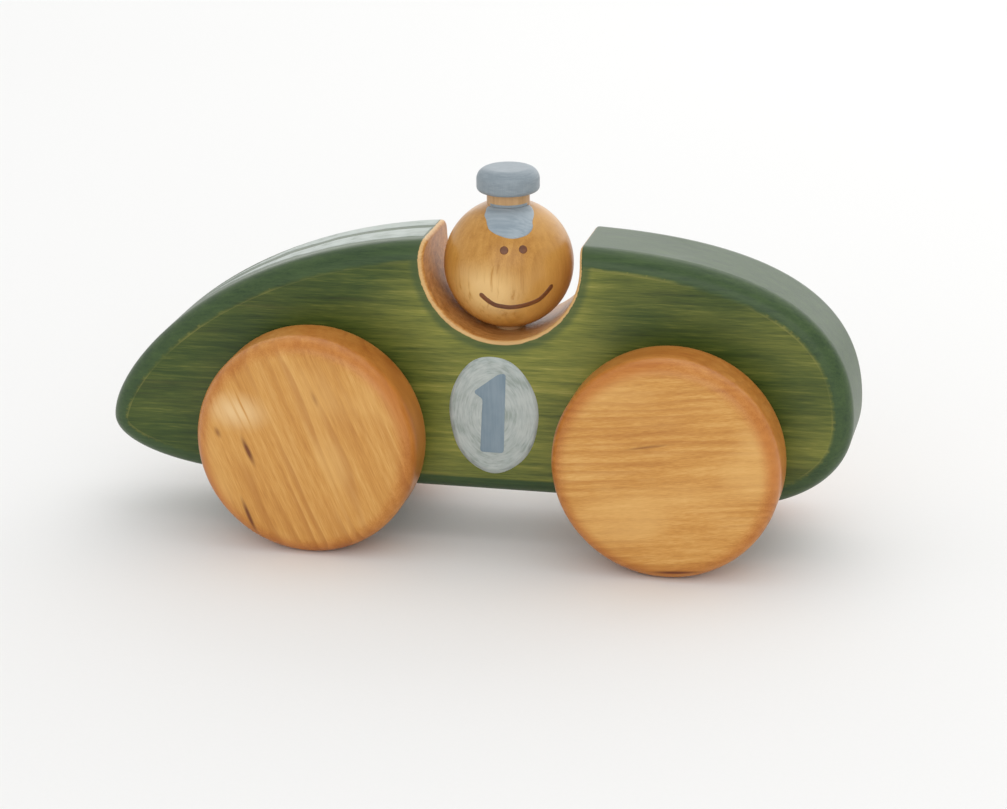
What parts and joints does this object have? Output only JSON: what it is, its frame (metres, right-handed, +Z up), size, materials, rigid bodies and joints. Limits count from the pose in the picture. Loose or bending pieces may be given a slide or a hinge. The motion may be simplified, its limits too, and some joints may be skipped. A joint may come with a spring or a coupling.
{
  "type": "pull back car",
  "caption": "Wooden racing car with stained body board, plain disc wheels, a ball-headed driver in a round cockpit and a spring motor hidden under the tail.",
  "frame": {"origin": "on the ground, midway along the overall length and midway across the car", "axes": "+X towards the tail, -X towards the nose, +Z up, -Y is the car's left side"},
  "size_m": [0.1928, 0.064, 0.0954],
  "materials": {
    "green_wood": "green stain under satin varnish, with bare wood in the cockpit",
    "wheel_wood": "oiled, fine grain",
    "head_wood": "varnished, fine grain",
    "dowel_wood": "plain turned dowel",
    "cover_wood": "oiled thin board",
    "cap_paint": "grey-blue paint on a turned cap, bare neck and shank",
    "case_plastic": "moulded",
    "gear_plastic": "moulded acetal",
    "axle_steel": "drawn",
    "screw_steel": "zinc plated",
    "spring_steel": "blued strip"
  },
  "bodies": {
    "chassis": {"body_block": "green_wood", "motor_case": "case_plastic", "motor_case_lid": "case_plastic", "case_screws": "screw_steel", "spring_pin": "axle_steel", "step_pin": "axle_steel", "mainspring": "spring_steel", "motor_cover": "cover_wood", "cover_screws": "screw_steel"},
    "front_wheels": {"front_wheel_left": "wheel_wood", "front_wheel_right": "wheel_wood", "front_axle_dowel": "dowel_wood"},
    "rear_wheels": {"rear_wheel_left": "wheel_wood", "rear_wheel_right": "wheel_wood", "rear_axle_rod": "axle_steel", "axle_pinion": "gear_plastic"},
    "floating_gear": {"floating_gear": "gear_plastic", "floating_pin": "axle_steel"},
    "step_gear": {"step_gear": "gear_plastic"},
    "spring_gear": {"spring_gear": "gear_plastic"},
    "driver": {"driver_head": "head_wood", "driver_cap_peg": "cap_paint"}
  },
  "joints": [
    {"name": "front_axle_spin", "type": "hinge", "parent": "chassis", "child": "front_wheels", "pos_m": [-0.0389, 0, 0.0286], "axis": [0, -1, 0], "continuous": true},
    {"name": "rear_axle_spin", "type": "hinge", "parent": "chassis", "child": "rear_wheels", "pos_m": [0.0526, 0, 0.0286], "axis": [0, -1, 0], "continuous": true},
    {"name": "floating_gear_spin", "type": "hinge", "parent": "chassis", "child": "floating_gear", "pos_m": [0.055, 0, 0.03665], "axis": [0, -1, 0], "continuous": true},
    {"name": "step_gear_spin", "type": "hinge", "parent": "chassis", "child": "step_gear", "pos_m": [0.0472, 0, 0.03975], "axis": [0, -1, 0], "continuous": true},
    {"name": "spring_gear_spin", "type": "hinge", "parent": "chassis", "child": "spring_gear", "pos_m": [0.0391, 0, 0.0301], "axis": [0, -1, 0], "continuous": true},
    {"name": "driver_turn", "type": "hinge", "parent": "chassis", "child": "driver", "pos_m": [0.0074, 0, 0.0707], "axis": [0, 0, 1], "continuous": true}
  ],
  "couplings": [
    {"joint": "floating_gear_spin", "follows": "rear_axle_spin", "ratio": -1.3333},
    {"joint": "step_gear_spin", "follows": "rear_axle_spin", "ratio": 1},
    {"joint": "spring_gear_spin", "follows": "rear_axle_spin", "ratio": -0.4}
  ]
}
